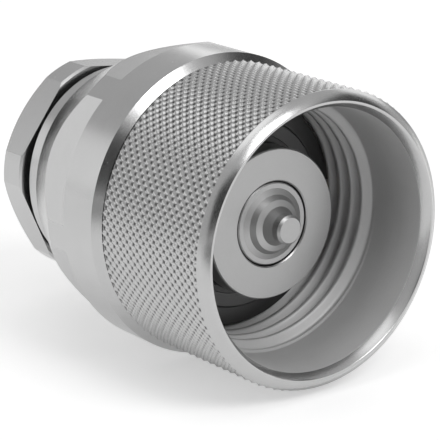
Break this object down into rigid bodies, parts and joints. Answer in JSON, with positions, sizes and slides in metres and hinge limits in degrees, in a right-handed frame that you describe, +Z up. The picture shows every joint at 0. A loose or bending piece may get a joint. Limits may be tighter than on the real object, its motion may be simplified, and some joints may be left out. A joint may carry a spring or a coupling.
{
  "type": "hydraulic screw coupling half with compression tube end",
  "caption": "Screw-to-connect hydraulic coupling half: knurled sleeve with internal thread, flat nose with poppet valve, and a compression nut for a tube.",
  "frame": {"origin": "on the common axis where the nose's cylindrical wall begins, 0.2 mm behind the nose face", "axes": "+X along the common axis towards the mating half, +Z up as the piece lies in the picture"},
  "size_m": [0.0742, 0.054, 0.054],
  "materials": {
    "plated_body": "zinc plated, satin",
    "plated_nose": "zinc plated, faced",
    "plated_sleeve": "zinc plated, knurled",
    "plated_nut": "zinc plated",
    "plated_stud": "zinc plated",
    "turned_poppet": "turned",
    "turned_guide": "turned",
    "dark_steel": "blackened",
    "spring_steel": "drawn wire",
    "bearing_brass": "rolled",
    "seal_rubber": "moulded",
    "backup_plastic": "turned"
  },
  "bodies": {
    "base": {"main_body": "plated_body", "valve_housing": "plated_nose", "housing_o_ring": "seal_rubber", "housing_backup_ring": "backup_plastic", "housing_lock_screw": "dark_steel", "sleeve_thrust_washer": "bearing_brass", "sleeve_retaining_ring": "dark_steel", "sleeve_dust_ring": "seal_rubber", "poppet_guide": "turned_guide", "guide_retaining_ring": "dark_steel", "poppet_spring": "spring_steel", "spring_seat_washer": "spring_steel", "tube_stud": "plated_stud", "tube_stud_seal": "seal_rubber"},
    "sleeve": {"coupling_sleeve": "plated_sleeve"},
    "valve": {"poppet": "turned_poppet", "poppet_seal": "seal_rubber", "seal_retainer": "turned_guide", "seal_lock_nut": "turned_guide"},
    "ring": {"cutting_ring": "dark_steel"},
    "nut": {"union_nut": "plated_nut"}
  },
  "joints": [
    {"name": "sleeve_turn", "type": "hinge", "parent": "base", "child": "sleeve", "pos_m": [0, 0, 0], "axis": [1, 0, 0], "continuous": true},
    {"name": "poppet_slide", "type": "slide", "parent": "base", "child": "valve", "axis": [-1, 0, 0], "range_m": [0, 0.006], "stiffness_N_per_m": 3000, "springref_m": -0.004, "deforming": ["poppet_spring"]},
    {"name": "cutting_ring_slide", "type": "slide", "parent": "base", "child": "ring", "axis": [1, 0, 0], "range_m": [-0.004, 0]},
    {"name": "union_nut_turn", "type": "hinge", "parent": "ring", "child": "nut", "pos_m": [-0.05, 0, 0], "axis": [1, 0, 0], "range_deg": [-720, 0]}
  ],
  "couplings": [
    {"joint": "cutting_ring_slide", "follows": "union_nut_turn", "m_per_rad": 0.00031831}
  ]
}
